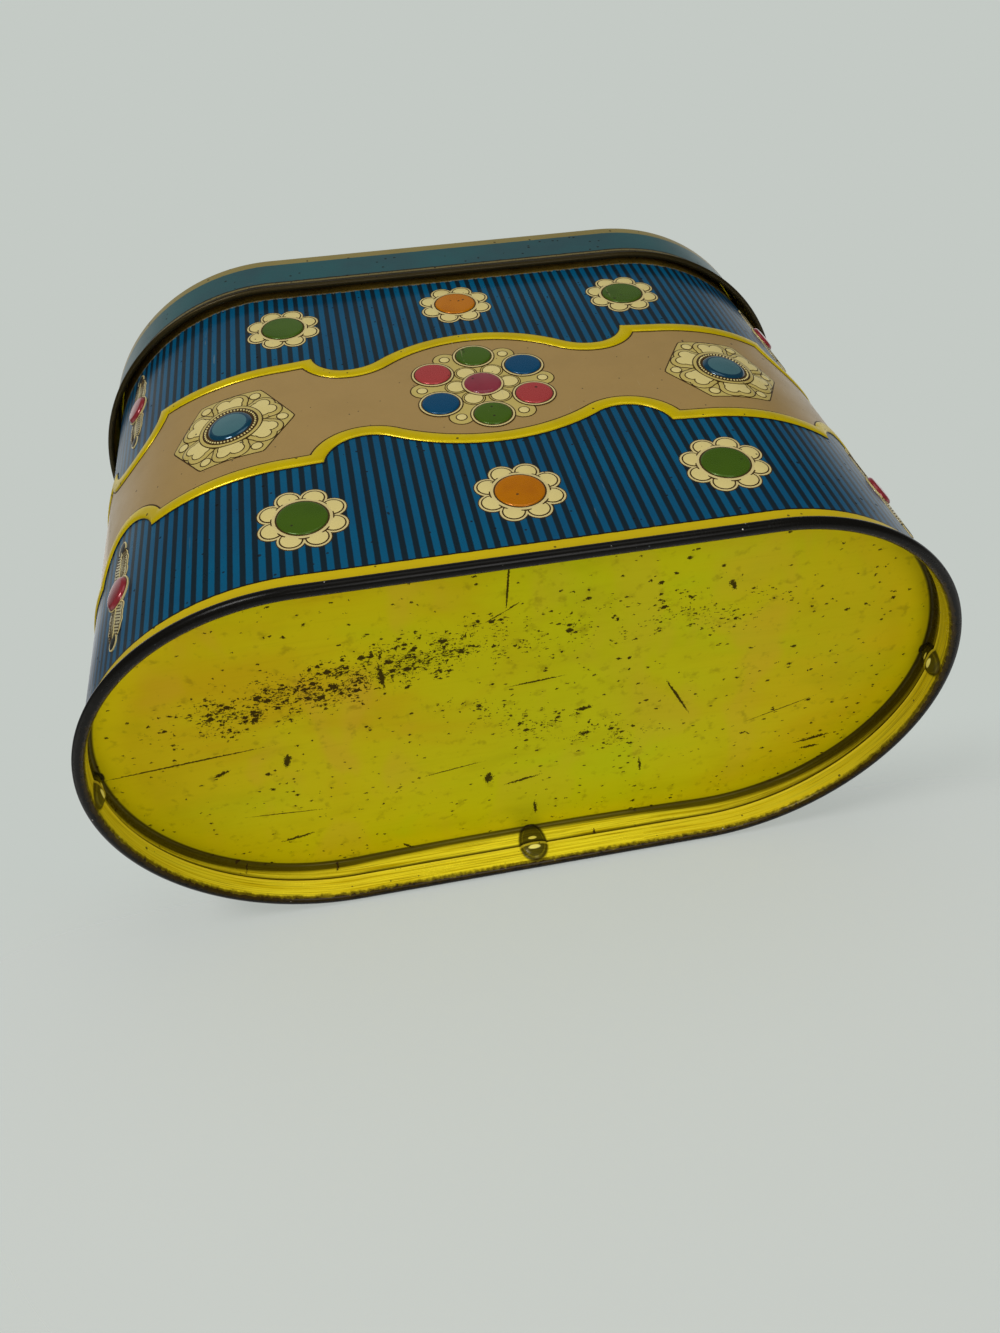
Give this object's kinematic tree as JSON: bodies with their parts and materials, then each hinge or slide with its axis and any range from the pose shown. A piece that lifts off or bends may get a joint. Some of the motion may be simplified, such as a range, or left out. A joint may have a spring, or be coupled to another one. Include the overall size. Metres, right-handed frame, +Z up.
{
  "type": "tin canister",
  "caption": "Oval printed tin canister with embossed wall ornaments, a recessed gold-lacquered base held in a rolled hem, and a slip lid that lifts off.",
  "frame": {"origin": "centre of the base, on the plane that the base bead stands on", "axes": "+Z up towards the lid, +X along the long side, -Y the front"},
  "size_m": [0.2032, 0.1102, 0.1412],
  "materials": {
    "printed_wall": "glossy printed tinplate with worn edges",
    "gold_lacquer": "gold-lacquered tinplate, scratched",
    "lid_print": "glossy printed tinplate, gold-lacquered inside"
  },
  "bodies": {
    "tin": {"body_wall": "printed_wall", "base_pan": "gold_lacquer"},
    "lid": {"lid": "lid_print"}
  },
  "joints": [
    {"name": "lid_lift", "type": "slide", "parent": "tin", "child": "lid", "axis": [0, 0, 1], "range_m": [0, 0.06]}
  ]
}
